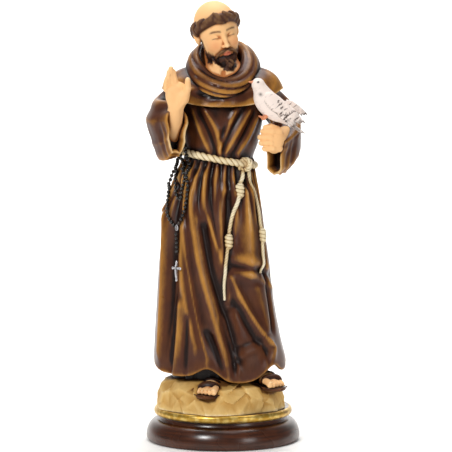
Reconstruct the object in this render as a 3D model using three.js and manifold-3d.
// A painted wooden statue of a friar saint with a dove, on a turned round plinth.
// Millimetres, +Z up. The origin is the centre of the plinth's underside, the figure faces -Y,
// and +X is on the viewer's right.
import * as THREE from 'three';
import { mergeVertices } from 'three/addons/utils/BufferGeometryUtils.js';
import Module from 'manifold-3d';

const wasm = await Module();
wasm.setup();

const { lerp, clamp, degToRad, smoothstep } = THREE.MathUtils;
const vec = (x, y, z) => new THREE.Vector3(x, y, z);
const UP = vec(0, 0, 1);

// Driving dimensions of the plinth and the rock.
const PLINTH_HEIGHT = 30.5;
const PLINTH_RADIUS = 70;
const RIM_RADIUS = 63;
const RIM_HEIGHT = 7;
const ROCK_RADIUS = 58.5;
const ROCK_MIDDLE = -1.8;
const ROCK_TOP = 53;
const ROCK_CORNER = 9;
const ROCK_CUTS = 60;
const ROCK_SEAT = 4;
const ROCK_SLANT = { lowest: -0.12, steepest: 0.98, spread: 0.5 };
const ROCK_DEPTH = { deepest: 0.95, proudest: 1.02 };
const ROCK_FACES = { sides: 24, rows: 4, dome: 0.94 };

// Driving heights of the figure.
const BELT_Z = 256;
const ROBE_TOP_Z = 322;
const HEM_Z = 63;
const CAPE_HEM_Z = 304;

// The robe's plain sections: half width, half depth in front and behind, and the middle's place.
const ROBE_SECTIONS = [
  { z: 40, middle: -2, half: 62, front: 49, back: 45 },
  { z: 72, middle: -3, half: 60, front: 48, back: 44 },
  { z: 93, middle: -5, half: 57, front: 46, back: 41 },
  { z: 125, middle: -7, half: 53, front: 43, back: 37 },
  { z: 162, middle: -8, half: 50, front: 41, back: 33 },
  { z: 190, middle: -8.5, half: 46.5, front: 37, back: 31 },
  { z: 217, middle: -8.5, half: 42, front: 32, back: 29 },
  { z: 240, middle: -7, half: 36, front: 28, back: 26 },
  { z: BELT_Z, middle: -4.5, half: 31.5, front: 25, back: 24 },
  { z: 272, middle: -2, half: 34, front: 28, back: 26 },
  { z: 305, middle: 0, half: 37, front: 28, back: 27 },
  { z: ROBE_TOP_Z, middle: 0, half: 30, front: 18, back: 22 },
];

// Folds that run down the cloth, along points [x, z] seen from the front. A negative height is a groove.
const DOWN_THE_CLOTH = [
  // Long ridges of the skirt, from the belt to the hem.
  { path: [[-28, 246], [-26, 206], [-20, 164], [-9, 120], [0, 88], [4, 64]], width: 5, height: 5 },
  { path: [[-16, 248], [-15, 214], [-9, 192], [0, 164], [6, 138]], width: 3.4, height: 3.2 },
  { path: [[-4, 250], [-3, 214], [0, 178]], width: 3, height: 2.6 },
  { path: [[-18, 200], [-11, 160], [2, 118], [12, 78]], width: 6, height: -5 },
  { path: [[4, 226], [4, 196], [3, 160], [8, 130]], width: 5, height: -4.5 },
  // The thigh and shin of the leg that steps forward.
  { path: [[17, 232], [21, 196], [23, 158]], width: 12, height: 7 },
  { path: [[28, 146], [35, 118], [40, 92]], width: 11, height: 5 },
  { path: [[5, 156], [18, 128], [34, 101], [44, 88]], width: 4, height: 4 },
  { path: [[12, 130], [28, 100], [38, 84]], width: 4, height: -3.5 },
  { path: [[33, 210], [38, 160], [44, 110]], width: 4, height: -3.5 },
  // The outer side, on the viewer's left.
  { path: [[-52, 214], [-54, 150], [-57, 84]], width: 6, height: 3.5 },
  { path: [[-42, 236], [-46, 170], [-47, 120], [-50, 70]], width: 7, height: -6 },
  { path: [[-36, 200], [-36, 150], [-28, 108], [-24, 90]], width: 5, height: 3 },
  { path: [[-38, 130], [-40, 100], [-44, 68]], width: 6, height: 3 },
  { path: [[-14, 104], [-6, 86], [-1, 72]], width: 4, height: -3.5 },
  // Slanting folds of the chest that meet above the belt.
  { path: [[-27, 304], [-19, 280], [-11, 262]], width: 3, height: 2.6 },
  { path: [[-17, 304], [-7, 286], [-2, 270]], width: 3, height: 2.8 },
  { path: [[13, 304], [4, 286], [-3, 266]], width: 3, height: 2.6 },
  { path: [[24, 302], [13, 282], [2, 262]], width: 3, height: 2.8 },
  { path: [[31, 296], [22, 276], [13, 262]], width: 3, height: 2.4 },
  { path: [[3, 288], [-1, 276]], width: 2.6, height: -3 },
];
const DROP_FOLDS = DOWN_THE_CLOTH.map(({ path, width, height }) => {
  const stations = path.map(([x, z]) => ({ x, z })).reverse();
  return { stations, low: stations[0].z, top: path[0][1], width, height };
});
const FOLD_FADE = 16;
const FOLD_SPAN = Math.PI * 0.62;

// Folds that run across the cloth: a groove or ridge between two points [x, z].
const SWAG_FOLDS = [
  { from: [8, 163], to: [44, 150], width: 4, height: -4.5 },
  { from: [12, 169], to: [40, 158], width: 4, height: 2.5 },
  { from: [22, 102], to: [46, 101], width: 3, height: -3 },
  { from: [28, 92], to: [48, 96], width: 3, height: 2 },
];
const SWAG_REACH = 40;
const SWAG_ENDS = { fade: 0.25, full: 0.1 };

// Gathers under the belt, and the broad folds of the back.
const GATHER_STEP = degToRad(13);
const GATHER_HEIGHT = 1.7;
const GATHER_FADE = { from: 9, to: 74 };
const BACK_FOLDS = 7;
const BACK_FOLD_HEIGHT = 4;
const BACK_FOLD_FALL = 150;
const BACK_SIDE = { from: degToRad(80), to: degToRad(125) };

// Columns and rows of the robe's faces: two columns to each gather in front, wider behind.
const FRONT_COLUMNS = 28;
const BACK_COLUMNS = 10;
const SKIRT_ROWS = 12;
const CHEST_ROWS = 4;

// A value that runs smoothly through the stations, read by height.
function through(stations, key, z) {
  const last = stations.length - 1;
  if (z <= stations[0].z) return stations[0][key];
  if (z >= stations[last].z) return stations[last][key];
  let i = 0;
  while (stations[i + 1].z < z) i++;
  const slope = (k) => {
    const a = stations[Math.max(k - 1, 0)];
    const b = stations[Math.min(k + 1, last)];
    return (b[key] - a[key]) / (b.z - a.z);
  };
  const p = stations[i];
  const q = stations[i + 1];
  const step = q.z - p.z;
  const t = (z - p.z) / step;
  const bend = (1 - t) * (1 - t) * t * step * slope(i) - (1 - t) * t * t * step * slope(i + 1);
  return p[key] * (1 + 2 * t) * (1 - t) * (1 - t) + q[key] * t * t * (3 - 2 * t) + bend;
}

const bell = (d) => Math.exp(-d * d);
const wrap = (angle) => Math.atan2(Math.sin(angle), Math.cos(angle));

// The robe's section at a height.
function robeSection(z) {
  const read = (key) => through(ROBE_SECTIONS, key, z);
  return { middle: read('middle'), half: read('half'), front: read('front'), back: read('back') };
}

// The angle round the robe, 0 in front, at which a point shows at x in the front view.
function angleAt(x, section) {
  return Math.asin(clamp((x - section.middle) / section.half, -1, 1));
}

// How far the folds lift the cloth at an angle and height.
function foldLift(phi, z, section) {
  const radius = (section.half + section.front) / 2;
  let lift = 0;
  for (const { stations, low, top, width, height } of DROP_FOLDS) {
    const above = smoothstep(z, low - FOLD_FADE, low);
    const ends = above * (1 - smoothstep(z, top - FOLD_FADE / 3, top + FOLD_FADE / 3));
    if (ends === 0 || Math.abs(phi) > FOLD_SPAN) continue;
    const away = wrap(phi - angleAt(through(stations, 'x', z), section)) * radius;
    lift += height * ends * bell(away / width);
  }
  for (const { from, to, width, height } of SWAG_FOLDS) {
    if (Math.abs(z - from[1]) > SWAG_REACH) continue;
    const a = angleAt(from[0], section);
    const b = angleAt(to[0], section);
    const t = (phi - a) / (b - a);
    const fading = (share) => smoothstep(share, -SWAG_ENDS.fade, SWAG_ENDS.full);
    const ends = fading(t) * fading(1 - t);
    lift += height * ends * bell((z - lerp(from[1], to[1], t)) / width);
  }
  const below = BELT_Z - z;
  if (below > 0 && below < GATHER_FADE.to) {
    const fade = 1 - smoothstep(below, GATHER_FADE.from, GATHER_FADE.to);
    lift += GATHER_HEIGHT * Math.cos((phi / GATHER_STEP) * 2 * Math.PI) * fade;
  }
  const behind = smoothstep(Math.abs(phi), BACK_SIDE.from, BACK_SIDE.to);
  const fall = smoothstep(below, 0, BACK_FOLD_FALL);
  return lift + behind * fall * BACK_FOLD_HEIGHT * Math.cos(phi * BACK_FOLDS);
}

// A point of the robe's cloth, lifted off it by a distance.
function robePoint(phi, z, off = 0) {
  const s = robeSection(z);
  const depth = Math.cos(phi) > 0 ? s.front : s.back;
  const lift = foldLift(phi, z, s) + off;
  return vec(s.middle + (s.half + lift) * Math.sin(phi), -(depth + lift) * Math.cos(phi), z);
}

// The robe's lower edge: it rises over both feet and at the sides.
function hemZ(phi) {
  const rise = (at, spread, height) => height * bell(wrap(phi - degToRad(at)) / degToRad(spread));
  return HEM_Z + rise(-9, 13, 7) + rise(50, 15, 17) + rise(-95, 24, 5) + rise(96, 20, 7);
}

// A closed solid through rings of points that all have the same count.
function loft(rings) {
  const count = rings[0].length;
  const points = rings.flat();
  const faces = [];
  for (let r = 0; r + 1 < rings.length; r++) {
    for (let k = 0; k < count; k++) {
      const a = r * count + k;
      const b = r * count + ((k + 1) % count);
      faces.push(a, b, a + count, b, b + count, a + count);
    }
  }
  const cap = (start, turn) => {
    const middle = vec(0, 0, 0);
    for (let k = 0; k < count; k++) middle.add(points[start + k]);
    const m = points.push(middle.divideScalar(count)) - 1;
    for (let k = 0; k < count; k++) {
      const a = start + k;
      const b = start + ((k + 1) % count);
      if (turn) faces.push(m, b, a);
      else faces.push(m, a, b);
    }
  };
  cap(0, true);
  cap((rings.length - 1) * count, false);
  return new THREE.BufferGeometry().setFromPoints(points).setIndex(faces);
}

// A three.js geometry as a solid that can be joined and cut.
function solid(geometry) {
  const bare = new THREE.BufferGeometry().setAttribute('position', geometry.getAttribute('position'));
  bare.setIndex(geometry.index);
  const merged = mergeVertices(bare, 1e-4);
  return new wasm.Manifold(new wasm.Mesh({
    numProp: 3,
    vertProperties: new Float32Array(merged.attributes.position.array),
    triVerts: new Uint32Array(merged.index.array),
  }));
}

const joined = (solids) => wasm.Manifold.union(solids);

// The outer skin of a carving, without the sealed gaps that stay between joined pieces.
const outerSkin = (made) => made.decompose().reduce((a, b) => (a.volume() > b.volume() ? a : b));

// A solid as a three.js geometry with flat faces.
function geometryOf(made) {
  const mesh = made.getMesh();
  const geometry = new THREE.BufferGeometry();
  geometry.setAttribute('position', new THREE.BufferAttribute(mesh.vertProperties, 3));
  geometry.setIndex(new THREE.BufferAttribute(mesh.triVerts, 1));
  geometry.computeVertexNormals();
  return geometry;
}

// An ellipsoid at a place, turned by Euler angles in degrees.
function egg({ at, radii, turn = [0, 0, 0], sides = 8, rows = 5 }) {
  const geometry = new THREE.SphereGeometry(1, sides, rows).rotateX(Math.PI / 2);
  const matrix = new THREE.Matrix4().compose(
    vec(...at),
    new THREE.Quaternion().setFromEuler(new THREE.Euler(...turn.map(degToRad))),
    vec(...radii),
  );
  return solid(geometry.applyMatrix4(matrix));
}

// A round limb that tapers between two points, pointed where it starts and rounded where it ends.
function limb({ from, to, radii: [start, end], sides = 5 }) {
  const along = vec(...to).sub(vec(...from));
  const length = along.length();
  const tip = end * Math.SQRT1_2;
  const profile = [[0, -start], [start, 0], [end, length], [tip, length + tip], [0, length + end]];
  const geometry = new THREE.LatheGeometry(profile.map(([r, h]) => new THREE.Vector2(r, h)), sides);
  const turn = new THREE.Quaternion().setFromUnitVectors(vec(0, 1, 0), along.normalize());
  return solid(geometry.applyQuaternion(turn).translate(...from));
}

// A number from 0 to 1 that is the same on every run.
function scatter(k, salt) {
  const value = Math.sin(k * 12.9898 + salt * 78.233) * 43758.5453;
  return value - Math.floor(value);
}

// The rope belt, carved on the robe: it dips on the viewer's right.
const ROPE = { tall: 3.1, deep: 4.2, slope: -0.2, strand: 1.8, strandOff: 1.26, strandSides: 4 };
const beltZ = (phi) => BELT_Z + ROPE.slope * robePoint(phi, BELT_Z).x;

// The hem: insets of the core, the hollow under the cloth and the cloth's edge, and their heights.
const HEM = { core: 16, sunk: 8, hollow: 12, rise: 3, edge: 3, lip: 1.5 };

// The robe as one solid: a core in the rock, the underside of the hem, and the cloth up to the neck.
function buildRobe() {
  const frontSpan = FRONT_COLUMNS * GATHER_STEP / 2;
  const columns = [];
  for (let k = 0; k < FRONT_COLUMNS; k++) columns.push(-frontSpan / 2 + (k * GATHER_STEP) / 2);
  const backStep = (2 * Math.PI - frontSpan) / BACK_COLUMNS;
  for (let k = 0; k < BACK_COLUMNS; k++) columns.push(frontSpan / 2 + backStep * k);
  const ring = (place) => columns.map((phi) => place(wrap(phi)));
  const core = ring((phi) => robePoint(phi, hemZ(phi), -HEM.core).setZ(PLINTH_HEIGHT + HEM.sunk));
  const under = (inset, rise) => ring((phi) => {
    const p = robePoint(phi, hemZ(phi), -inset);
    return p.setZ(p.z + rise);
  });
  const rings = [core, under(HEM.hollow, HEM.rise), under(HEM.edge, HEM.lip)];
  const rows = (count, from, to) => {
    for (let r = 0; r < count; r++) {
      rings.push(ring((phi) => robePoint(phi, lerp(from(phi), to(phi), r / count))));
    }
  };
  rows(SKIRT_ROWS, hemZ, (phi) => beltZ(phi) - ROPE.tall);
  for (const [rise, off] of [[-1, 0], [-0.7, 1], [0.7, 1], [1, 0]]) {
    rings.push(ring((phi) => robePoint(phi, beltZ(phi) + rise * ROPE.tall, off * ROPE.deep)));
  }
  rows(CHEST_ROWS, (phi) => beltZ(phi) + ROPE.tall * 2, () => ROBE_TOP_Z);
  rings.push(ring((phi) => robePoint(phi, ROBE_TOP_Z)));
  return solid(loft(rings));
}

// A rock with flat chisel cuts: the nearest of many planes gives its distance in each direction.
function buildRock() {
  const middle = PLINTH_HEIGHT + ROCK_SEAT;
  const height = ROCK_TOP - middle;
  const golden = Math.PI * (3 - Math.sqrt(5));
  const planes = [];
  for (let k = 0; k < ROCK_CUTS; k++) {
    const rise = lerp(ROCK_SLANT.lowest, ROCK_SLANT.steepest, scatter(k, 1));
    const angle = k * golden + scatter(k, 2) * ROCK_SLANT.spread;
    const flat = Math.sqrt(1 - rise * rise);
    const side = (ROCK_RADIUS - ROCK_CORNER) * flat;
    const drum = side + (height - ROCK_CORNER) * Math.max(rise, 0) + ROCK_CORNER;
    const reach = drum * lerp(ROCK_DEPTH.deepest, ROCK_DEPTH.proudest, scatter(k, 3));
    planes.push({ normal: vec(Math.cos(angle) * flat, Math.sin(angle) * flat, rise), reach });
  }
  const reachOf = (direction) => Math.min(...planes.map(({ normal, reach }) => {
    const facing = normal.dot(direction);
    return facing > 0 ? reach / facing : Infinity;
  }));
  const { sides, rows, dome } = ROCK_FACES;
  const rings = [];
  const ringAt = (place) => Array.from({ length: sides }, (_, k) => place((k / sides) * 2 * Math.PI));
  rings.push(ringAt((angle) => {
    const r = reachOf(vec(Math.cos(angle), Math.sin(angle), 0));
    return vec(r * Math.cos(angle), r * Math.sin(angle), PLINTH_HEIGHT);
  }));
  for (let j = 0; j < rows; j++) {
    const rise = (j / rows) * (Math.PI / 2) * dome;
    rings.push(ringAt((angle) => {
      const flat = Math.cos(rise);
      const direction = vec(Math.cos(angle) * flat, Math.sin(angle) * flat, Math.sin(rise));
      const p = direction.clone().multiplyScalar(reachOf(direction));
      return p.setZ(p.z + middle);
    }));
  }
  return solid(loft(rings)).translate([ROCK_MIDDLE, 0, 0]);
}

// The shoulder cape: a dome of cloth over the shoulders, open low in front, with a thick lower edge.
const CAPE = {
  half: 54, front: 34, back: 33, neckHalf: 17, neckZ: 340, neckDip: 17, sideRise: 16,
  edge: 2.5, underside: 14, lip: 0.6, drop: 0.8, top: 0.96, ripple: 1.2, ripples: 9, sides: 24, rows: 5,
};
function capePoint(phi, q, off) {
  const facing = Math.cos(phi);
  const side = Math.abs(Math.sin(phi));
  const depth = facing > 0 ? CAPE.front : CAPE.back;
  const hem = CAPE_HEM_Z + CAPE.sideRise * side ** 3;
  const neck = CAPE.neckZ - CAPE.neckDip * Math.max(0, facing) ** 2;
  const out = Math.cos(q * Math.PI / 2) ** CAPE.drop;
  const lift = CAPE.ripple * Math.cos(phi * CAPE.ripples) * (1 - q) + off;
  const half = lerp(CAPE.neckHalf, CAPE.half, out) + lift;
  const deep = lerp(CAPE.neckHalf, depth, out) + lift;
  return vec(half * Math.sin(phi), -deep * facing, lerp(hem, neck, Math.sin(q * Math.PI / 2)));
}
function buildCape() {
  const ring = (q, off, rise) => Array.from({ length: CAPE.sides }, (_, k) => {
    const p = capePoint(wrap((k / CAPE.sides) * 2 * Math.PI), q, off);
    p.z += rise;
    return p;
  });
  const rings = [ring(0, -CAPE.underside, CAPE.edge), ring(0, -CAPE.edge, 0)];
  for (let r = 0; r <= CAPE.rows; r++) rings.push(ring((r / CAPE.rows) * CAPE.top, 0, CAPE.lip));
  return solid(loft(rings));
}

// The hood's collar: a thick roll of cloth round the neck, low and open in front, high behind.
const COLLAR = {
  half: 25, front: 30, back: 24, frontZ: 322, backZ: 351, swell: 7,
  thick: 8.6, frontTall: 7.5, backTall: 11, rolls: 3, rollHeight: 1.8, turns: 20, sides: 8,
};
function buildCollar() {
  const torus = new THREE.TorusGeometry(1, 0.3, COLLAR.sides, COLLAR.turns);
  const position = torus.getAttribute('position');
  for (let k = 0; k < position.count; k++) {
    const phi = ((k % (COLLAR.turns + 1)) / COLLAR.turns) * 2 * Math.PI;
    const q = (Math.floor(k / (COLLAR.turns + 1)) / COLLAR.sides) * 2 * Math.PI;
    const behind = (1 - Math.cos(phi)) / 2;
    const outside = Math.max(0, Math.cos(q));
    const roll = COLLAR.rollHeight * Math.cos(q * COLLAR.rolls * 2) * outside;
    const out = (COLLAR.thick + roll) * Math.cos(q);
    const deep = lerp(COLLAR.front, COLLAR.back, behind) + out;
    const middle = lerp(COLLAR.frontZ, COLLAR.backZ, behind) + COLLAR.swell * 4 * behind * (1 - behind);
    const rise = lerp(COLLAR.frontTall, COLLAR.backTall, behind) * Math.sin(q) - out / 2;
    position.setXYZ(k, (COLLAR.half + out) * Math.sin(phi), -deep * Math.cos(phi), middle + rise);
  }
  return solid(torus);
}

// The hood lying on the back: a flat drop of cloth that hangs to a blunt point.
const HOOD = [
  { at: [0, 27, 328], radii: [25, 9, 24], turn: [-14, 0, 0], sides: 10, rows: 6 },
  { at: [0, 33, 310], radii: [15, 7, 22], turn: [-6, 0, 0], sides: 8, rows: 6 },
];
const buildHood = () => joined(HOOD.map(egg));

// A hanging sleeve: rings along the arm, then the thick edge of its mouth and the hollow behind it.
const SLEEVE = {
  sides: 12, cloth: 2.4, ridge: 1.1, ridges: 5, taper: 0.75, narrowest: 0.25, lip: 0.4, hollow: 10,
};
const RIGHT_SLEEVE = [
  { at: [-24, 3, 322], wide: 17, up: 12, low: 18 },
  { at: [-42, 2, 314], wide: 16, up: 13, low: 24 },
  { at: [-54, -6, 298], wide: 14, up: 15, low: 34 },
  { at: [-54, -20, 291], wide: 13, up: 19, low: 36 },
  { at: [-48, -32, 289], wide: 12, up: 20, low: 32 },
  { at: [-41, -40, 288], wide: 10, up: 20, low: 25 },
];
const LEFT_SLEEVE = [
  { at: [24, 3, 322], wide: 17, up: 12, low: 18 },
  { at: [43, 2, 311], wide: 16, up: 13, low: 24 },
  { at: [56, -6, 293], wide: 14, up: 16, low: 34 },
  { at: [58, -20, 281], wide: 13, up: 12, low: 32 },
  { at: [53, -32, 275], wide: 12, up: 9, low: 30 },
  { at: [45, -40, 271], wide: 10, up: 9, low: 27 },
];
function sleeveRing(stations, k, shrink, back) {
  const { at, wide, up, low } = stations[k];
  const before = stations[Math.max(k - 1, 0)].at;
  const after = stations[Math.min(k + 1, stations.length - 1)].at;
  const along = vec(after[0] - before[0], after[1] - before[1], 0).normalize();
  const across = UP.clone().cross(along);
  return Array.from({ length: SLEEVE.sides }, (_, j) => {
    const q = (j / SLEEVE.sides) * 2 * Math.PI;
    const ridge = SLEEVE.ridge * Math.cos(q * SLEEVE.ridges + k) * Math.min(k, 2) / 2 - shrink;
    const side = Math.cos(q) * Math.sqrt(clamp(1 + Math.sin(q) * SLEEVE.taper, SLEEVE.narrowest, 1));
    const rise = Math.sin(q) * ((Math.sin(q) > 0 ? up : low) + ridge);
    const p = vec(...at).addScaledVector(across, side * (wide + ridge));
    return p.addScaledVector(UP, rise).addScaledVector(along, -back);
  });
}
function buildSleeve(stations) {
  const mouth = stations.length - 1;
  const rings = stations.map((_, k) => sleeveRing(stations, k, 0, 0));
  rings.push(sleeveRing(stations, mouth, SLEEVE.cloth, SLEEVE.lip));
  rings.push(sleeveRing(stations, mouth, SLEEVE.cloth + 1, SLEEVE.hollow));
  return solid(loft(rings));
}

// The raised hand: forearm, palm, four fingers that close to a point, and the thumb.
const RAISED_FINGERS = [
  { from: [-50, -44, 320], to: [-49.4, -46.5, 329.5], radii: [2.6, 2.1] },
  { from: [-47, -44, 322], to: [-47.6, -47, 335.5], radii: [2.7, 2.2] },
  { from: [-43.8, -44, 323], to: [-46, -46, 338.6], radii: [2.7, 2.2] },
  { from: [-40.6, -44, 322], to: [-43.9, -44.6, 336], radii: [2.7, 2.2] },
];
const RAISED_ARM = [
  { from: [-46, -20, 274], to: [-41.5, -42.5, 305], radii: [8.4, 7], sides: 8 },
  { from: [-34, -46, 311], to: [-31.2, -48, 321], radii: [3.8, 3.1] },
  { from: [-31.2, -48, 320], to: [-31, -48, 328.5], radii: [3, 2.2] },
];
const RAISED_PALM = { at: [-40.3, -44.3, 315], radii: [10.7, 4.8, 12], turn: [0, 4, 0], rows: 6 };
const buildRaisedHand = () => joined([...[...RAISED_ARM, ...RAISED_FINGERS].map(limb), egg(RAISED_PALM)]);

// The hand that holds the dove: four closed fingers one above the other, the thumb on top.
const HELD_ARM = [
  { from: [57, -20, 280], to: [49, -41, 276], radii: [8, 7.2], sides: 8 },
  { from: [48, -44, 284.5], to: [37.5, -46, 286.5], radii: [3.2, 2.3] },
];
const HELD_PALM = { at: [45.5, -43, 275], radii: [9, 8, 12], rows: 6 };
const HELD_FINGERS = {
  lefts: [34.5, 32, 33, 36], right: 50, y: -47.5, top: 283, step: 5.1, radii: [3.2, 2.7],
};
function buildHoldingHand() {
  const fingers = HELD_FINGERS.lefts.map((left, k) => {
    const z = HELD_FINGERS.top - k * HELD_FINGERS.step;
    const { right, y, radii } = HELD_FINGERS;
    return { from: [right, y, z], to: [left, y, z], radii };
  });
  return joined([...[...HELD_ARM, ...fingers].map(limb), egg(HELD_PALM)]);
}

// A bare foot in a sandal, made pointing to -Y and then turned and set down.
const FOOT = { toes: 5, sole: 4, ball: -10, tip: -20.5, shorter: 1.6, spread: 7.2, bigToe: 2.9, toe: 2.2 };
const FOOT_FORMS = [
  { at: [0, -2, FOOT.sole / 2], radii: [11.5, 24, FOOT.sole / 2 + 0.6], sides: 12, rows: 3 },
  { at: [0, 2, 8], radii: [8.5, 18, 7], turn: [8, 0, 0], rows: 4 },
  { at: [0, -8, 8.5], radii: [10.4, 5.5, 6.4], turn: [12, 0, 0], rows: 4 },
];
function buildFoot({ at, turn, inner }) {
  const toes = Array.from({ length: FOOT.toes }, (_, k) => {
    const x = inner * lerp(FOOT.spread, -FOOT.spread, k / (FOOT.toes - 1));
    const radius = k === 0 ? FOOT.bigToe : FOOT.toe;
    const tip = FOOT.tip + Math.max(0, k - 1) * FOOT.shorter;
    const height = FOOT.sole + radius;
    const from = [x * 0.9, FOOT.ball, height + 1];
    return { from, to: [x, tip, height - 0.2], radii: [radius, radius], sides: 4 };
  });
  return joined([...FOOT_FORMS.map(egg), ...toes.map(limb)]).rotate([0, 0, turn]).translate(at);
}
const FEET = [
  { at: [-11, -38, 45], turn: -12, inner: 1 },
  { at: [41, -27, 50], turn: 22, inner: -1 },
];

// The head, made upright and facing -Y about its own middle, then tilted and set on the neck.
const HEAD = { at: [-5, -11, 371], pitch: 12, roll: -14, turn: 16 };
const HEAD_FORMS = [
  { at: [0, 3, 7], radii: [19, 22, 20.5], sides: 12, rows: 8 },
  { at: [0, -5, -7], radii: [15.2, 14.5, 21], sides: 10, rows: 7 },
  { at: [0, -14, -25], radii: [9.6, 8, 8.5], rows: 6 },
  { at: [0, -17, -31], radii: [6, 5, 6], sides: 6 },
];
const HEAD_SIDES = [
  { at: [18, 3, -3], radii: [2.4, 4, 6.2], sides: 6, rows: 4 },
  { at: [11.5, -6, -19], radii: [4.4, 8, 8], sides: 6 },
];
const NOSE = { from: [0, -18.6, 2], to: [0, -22.4, -7.4], radii: [1.7, 2.4] };
const MOUSTACHE = { from: [1, -20.2, -12.4], to: [8.5, -16, -16], radii: [1.7, 1.5], sides: 4 };
const mirrored = ([x, ...rest]) => [-x, ...rest];

// The wreath of hair round the bare crown: a lumpy ring, high over the brow and low behind.
const WREATH = {
  half: 17.6, deep: 20.2, y: 3, backZ: 2, browZ: 14, thick: 4.4, tall: 6.4, locks: 11, lump: 0.17, sides: 5,
};
function buildWreath() {
  const turns = WREATH.locks * 2;
  const torus = new THREE.TorusGeometry(1, 0.3, WREATH.sides, turns);
  const position = torus.getAttribute('position');
  for (let k = 0; k < position.count; k++) {
    const turn = (k % (turns + 1)) % turns;
    const phi = (turn / turns) * 2 * Math.PI;
    const q = (Math.floor(k / (turns + 1)) / WREATH.sides) * 2 * Math.PI;
    const brow = (1 + Math.cos(phi)) / 2;
    const size = (1 + WREATH.lump * (turn % 2 ? 1 : -1)) * lerp(1.05, 0.75, brow ** 2);
    const out = WREATH.thick * size * Math.cos(q);
    const z = lerp(WREATH.backZ, WREATH.browZ, brow ** 2) + WREATH.tall * size * Math.sin(q);
    const y = WREATH.y - (WREATH.deep + out) * Math.cos(phi);
    position.setXYZ(k, (WREATH.half + out) * Math.sin(phi), y, z);
  }
  return solid(torus);
}
function buildHead() {
  const pieces = [...HEAD_FORMS.map(egg), limb(NOSE), buildWreath(), limb(MOUSTACHE)];
  pieces.push(limb({ ...MOUSTACHE, from: mirrored(MOUSTACHE.from), to: mirrored(MOUSTACHE.to) }));
  for (const form of HEAD_SIDES) pieces.push(egg(form), egg({ ...form, at: mirrored(form.at) }));
  return joined(pieces)
    .rotate([HEAD.pitch, 0, 0])
    .rotate([0, HEAD.roll, 0])
    .rotate([0, 0, HEAD.turn])
    .translate(HEAD.at);
}

// The bare neck and the top of the chest inside the collar.
const NECK = { from: [0, 3, 330], to: [-3, -4, 356], radii: [17, 13.5], sides: 10 };
const CHEST = { at: [0, -7, 335], radii: [20, 18, 12], turn: [18, 0, 0], sides: 10, rows: 6 };
const buildNeck = () => joined([limb(NECK), egg(CHEST)]);

// A tube along points on the cloth. Its radius may change from ring to ring.
function tube(points, ringCount, radiusAt, sides) {
  const path = new THREE.CatmullRomCurve3(points);
  const rings = [];
  for (let k = 0; k <= ringCount; k++) {
    const t = k / ringCount;
    const p = path.getPointAt(t);
    const along = path.getTangentAt(t);
    const across = along.clone().cross(vec(p.x, p.y, 0)).normalize();
    const out = across.clone().cross(along);
    const radius = radiusAt(k);
    rings.push(Array.from({ length: sides }, (_, j) => {
      const q = (j / sides) * 2 * Math.PI;
      const rim = p.clone().addScaledVector(out, radius * Math.cos(q));
      return rim.addScaledVector(across, radius * Math.sin(q));
    }));
  }
  return solid(loft(rings));
}

// The rope's knot and the two ends with knots that hang from it on the robe.
const ROPE_ENDS = [
  {
    path: [[18, 249], [14, 234], [9, 214], [6, 196], [4, 178], [1, 150], [1.5, 132]],
    knots: [[12.4, 229], [5, 184]],
  },
  {
    path: [[20, 249], [25, 230], [29, 212], [31.5, 192], [32, 172], [31.5, 155]],
    knots: [[31.7, 188]],
  },
];
const ROPE_KNOT = { at: [18.5, 252], radii: [5.2, 4, 4.4], turn: [0, 30, 0], off: 3 };
const END_KNOT = { radii: [3.5, 2.8, 6.5], sides: 6, off: 1.4 };
const onRobe = ([x, z], off) => robePoint(angleAt(x, robeSection(z)), z, off);
function buildRope() {
  const pieces = [egg({ ...ROPE_KNOT, at: onRobe(ROPE_KNOT.at, ROPE_KNOT.off).toArray() })];
  for (const { path, knots } of ROPE_ENDS) {
    const points = path.map((at) => onRobe(at, ROPE.strandOff));
    pieces.push(tube(points, path.length, () => ROPE.strand, ROPE.strandSides));
    for (const at of knots) pieces.push(egg({ ...END_KNOT, at: onRobe(at, END_KNOT.off).toArray() }));
  }
  return joined(pieces);
}

// The dove, made along its own length with the head to -X, then tilted and set on the hand.
const DOVE = { at: [43.2, -51, 305.4], tilt: 38, turn: 8, size: 0.93 };
const DOVE_BODY = [
  { at: [0, 0, 0], radii: [20, 10, 11.6], rows: 6 },
  { at: [27, 0, -2], radii: [15, 6, 2.4], turn: [0, -4, 0] },
];
const DOVE_LIMBS = [
  { from: [-12, 0, 3], to: [-22.5, 0, 7.5], radii: [8.6, 6.2], sides: 7 },
  { from: [-26, 0, 7.4], to: [-31.6, 0, 4.4], radii: [2.2, 0.7] },
  { from: [1, -3, -9], to: [1, -3, -14.5], radii: [2.4, 2] },
  { from: [1, 3, -9], to: [1, 3, -14.5], radii: [2.4, 2] },
];
const DOVE_WINGS = [
  { at: [6, 8.6, 3], radii: [19.5, 3, 8.2], turn: [8, 6, 5], rows: 4 },
  { at: [21, 9, 5.6], radii: [11.5, 2, 3.2], turn: [8, 2, 4], sides: 6, rows: 4 },
];
function buildDove() {
  const pieces = [...DOVE_BODY.map(egg), ...DOVE_LIMBS.map(limb)];
  for (const wing of DOVE_WINGS) {
    const { at: [x, y, z], turn: [a, b, c] } = wing;
    pieces.push(egg(wing), egg({ ...wing, at: [x, -y, z], turn: [-a, b, -c] }));
  }
  return joined(pieces).scale(DOVE.size).rotate([0, DOVE.tilt, DOVE.turn]).translate(DOVE.at);
}

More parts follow.
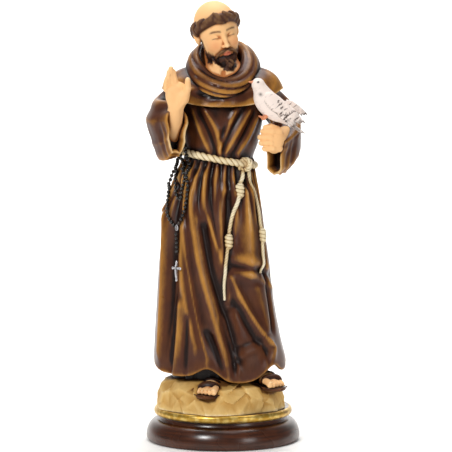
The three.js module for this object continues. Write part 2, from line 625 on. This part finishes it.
// The plinth, turned in one piece: a quarter-round bulge, a narrow neck and a half-round rim.
const BULGE = { base: 67, widest: 4, width: 10.5, height: 15.5 };
const PLINTH_NECK = 58.8;
const RIM_DEPTH = 2.8;
const PLINTH_SIDES = 26;
const NECK_TALL = 3;
function buildPlinth() {
  const bulge = (t) => {
    const q = t * Math.PI / 2;
    const r = PLINTH_RADIUS - BULGE.width + BULGE.width * Math.cos(q);
    return [r, BULGE.widest + BULGE.height * Math.sin(q)];
  };
  const rim = (t) => {
    const q = lerp(-0.5, 0.5, t) * Math.PI;
    const r = RIM_RADIUS - RIM_DEPTH + RIM_DEPTH * Math.cos(q);
    return [r, PLINTH_HEIGHT - (RIM_HEIGHT / 2) * (1 - Math.sin(q))];
  };
  const steps = (shape, count) => Array.from({ length: count + 1 }, (_, k) => shape(k / count));
  const profile = [
    [0, 0],
    [BULGE.base, 0],
    ...steps(bulge, 4),
    [PLINTH_NECK, PLINTH_HEIGHT - RIM_HEIGHT - NECK_TALL],
    [PLINTH_NECK, PLINTH_HEIGHT - RIM_HEIGHT],
    ...steps(rim, 3),
    [0, PLINTH_HEIGHT],
  ];
  const turned = new THREE.LatheGeometry(profile.map(([r, z]) => new THREE.Vector2(r, z)), PLINTH_SIDES);
  return solid(turned.rotateX(Math.PI / 2));
}

// The rosary: a ring of beads hung over the belt in two loops, and a short drop to the cross.
const BEAD = { radius: 1.8, waist: 0.7, step: 4.3, off: 3.6, overBelt: 3.4, beltReach: 7, sides: 3 };
const ROSARY_RING = [
  [-42.5, 198], [-47, 205], [-48, 215], [-45.5, 234], [-43, 250], [-42, 262], [-40, 270],
  [-38, 262], [-39, 248], [-40.5, 232], [-38.5, 222], [-34.5, 222], [-33, 232], [-32.5, 248], [-33, 262],
  [-31, 270], [-28.5, 261], [-28, 248], [-28.5, 232], [-31, 217], [-34, 206], [-37.6, 199],
];
const ROSARY_DROP = [[-40, 190], [-39.5, 180], [-39, 170.5]];
const CROSS = { at: [-38.8, 160], tall: 18, wide: 12, bar: 2.2, thick: 1.6, crossing: 0.36, off: 3.4 };

// A string of beads through points on the robe. It rises where it passes over the belt.
function buildBeads(path) {
  const flat = new THREE.SplineCurve(path.map(([x, z]) => new THREE.Vector2(x, z)));
  const points = flat.getSpacedPoints(path.length * 3).map(({ x, y: z }) => {
    const section = robeSection(z);
    const phi = angleAt(x, section);
    const hollow = Math.min(0, foldLift(phi, z, section));
    return robePoint(phi, z, BEAD.off - hollow + BEAD.overBelt * bell((z - beltZ(phi)) / BEAD.beltReach));
  });
  const count = Math.round(new THREE.CatmullRomCurve3(points).getLength() / BEAD.step);
  return tube(points, count * 2, (k) => (k % 2 ? BEAD.radius : BEAD.waist), BEAD.sides);
}

// A flat cross that hangs in front of the robe.
function buildCross() {
  const { tall, wide, bar, thick, crossing } = CROSS;
  const half = bar / 2;
  const arm = tall * crossing;
  const outline = new THREE.Shape([
    [-half, -tall + arm], [half, -tall + arm], [half, -half], [wide / 2, -half], [wide / 2, half],
    [half, half], [half, arm], [-half, arm], [-half, half],
    [-wide / 2, half], [-wide / 2, -half], [-half, -half],
  ].map(([x, z]) => new THREE.Vector2(x, z)));
  const p = onRobe(CROSS.at, CROSS.off);
  const lean = Math.atan2(p.x, -p.y);
  const cross = new THREE.ExtrudeGeometry(outline, { depth: thick, bevelEnabled: false });
  return solid(cross.rotateX(Math.PI / 2).rotateZ(lean).translate(p.x, p.y, p.z));
}

// The small oval medal that closes the ring.
const MEDAL = { at: [-40, 195.6], radii: [2.1, 1.2, 2.6], sides: 8, rows: 6 };
const buildMedal = () => egg({ ...MEDAL, at: onRobe(MEDAL.at, BEAD.off).toArray() });

function material(color, roughness, metalness = 0) {
  return new THREE.MeshStandardMaterial({ color, roughness, metalness });
}
const beadFinish = material(0x1d1714, 0.35);
const group = new THREE.Group();
function place(name, made, finish) {
  const mesh = new THREE.Mesh(geometryOf(made), finish);
  mesh.name = name;
  group.add(mesh);
}

const figure = joined([
  buildRobe(),
  buildRock(),
  buildCape(),
  buildCollar(),
  buildHood(),
  buildSleeve(RIGHT_SLEEVE),
  buildSleeve(LEFT_SLEEVE),
  buildRaisedHand(),
  buildHoldingHand(),
  ...FEET.map(buildFoot),
  buildNeck(),
  buildHead(),
  buildRope(),
]);
place('figure', outerSkin(figure), material(0x5f3d22, 0.5));
place('dove', outerSkin(buildDove()), material(0xe9ded2, 0.55));
place('plinth', buildPlinth(), material(0x3a1d12, 0.3));
place('rosary_ring', buildBeads(ROSARY_RING), beadFinish);
place('rosary_drop', buildBeads(ROSARY_DROP), beadFinish);
place('rosary_medal', buildMedal(), material(0xc9c9cf, 0.25, 1));
place('crucifix', buildCross(), material(0xb9bac2, 0.3, 1));

export default group;
